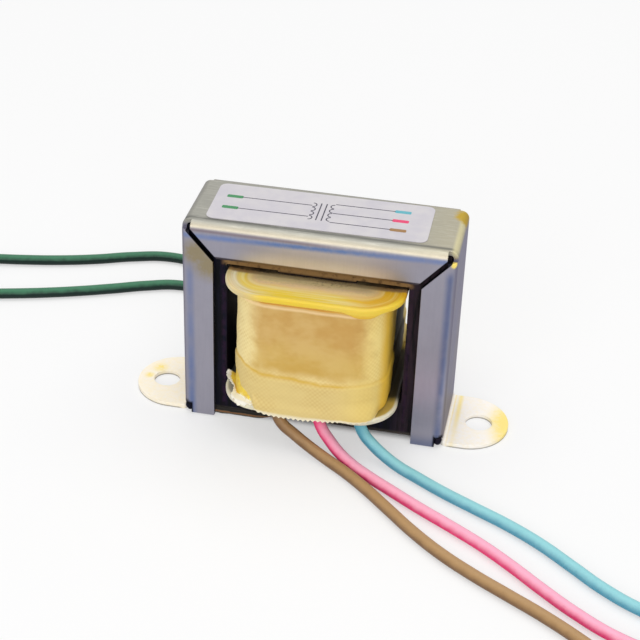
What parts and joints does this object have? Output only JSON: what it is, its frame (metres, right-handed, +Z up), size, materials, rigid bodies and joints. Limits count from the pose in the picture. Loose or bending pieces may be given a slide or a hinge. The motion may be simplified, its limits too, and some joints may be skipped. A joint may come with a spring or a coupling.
{
  "type": "chassis mount transformer",
  "caption": "Small open-frame transformer: laminated core and taped coil held in a folded plated channel bracket with two drilled feet and loose coloured leads.",
  "frame": {"origin": "on the chassis surface, midway between the two foot holes and under the middle of the core", "axes": "+X from foot to foot, to the right as seen from the side with three leads; +Y to the back; +Z up"},
  "size_m": [0.1844, 0.1147, 0.0423],
  "materials": {
    "plated_steel": "zinc-plated sheet with yellow passivation tints",
    "core_steel": "dark varnished lamination steel",
    "bobbin": "pale yellow moulded bobbin",
    "enamelled_wire": "enamelled copper wire",
    "insulation_paper": "varnished paper",
    "splice_sleeve": "pale sleeving",
    "coil_tape": "varnished woven tape",
    "anchor_tape": "varnished woven tape",
    "label": "satin paper label",
    "brown_lead": "satin insulation",
    "red_lead": "satin insulation",
    "blue_lead": "satin insulation",
    "green_lead": "satin insulation",
    "tinned_strand": "dull tinned copper"
  },
  "bodies": {
    "root": {"channel_bracket": "plated_steel", "e_laminations": "core_steel", "i_laminations": "core_steel", "bobbin": "bobbin", "primary_winding": "enamelled_wire", "winding_insulation": "insulation_paper", "secondary_winding": "enamelled_wire", "front_splices": "splice_sleeve", "rear_splices": "splice_sleeve", "coil_tape": "coil_tape", "anchor_tape": "anchor_tape", "label": "label", "lead_brown": "brown_lead", "lead_red": "red_lead", "lead_blue": "blue_lead", "lead_green_near": "green_lead", "lead_green_far": "green_lead", "end_brown": "tinned_strand", "end_red": "tinned_strand", "end_blue": "tinned_strand", "end_green_near": "tinned_strand", "end_green_far": "tinned_strand"}
  },
  "joints": []
}
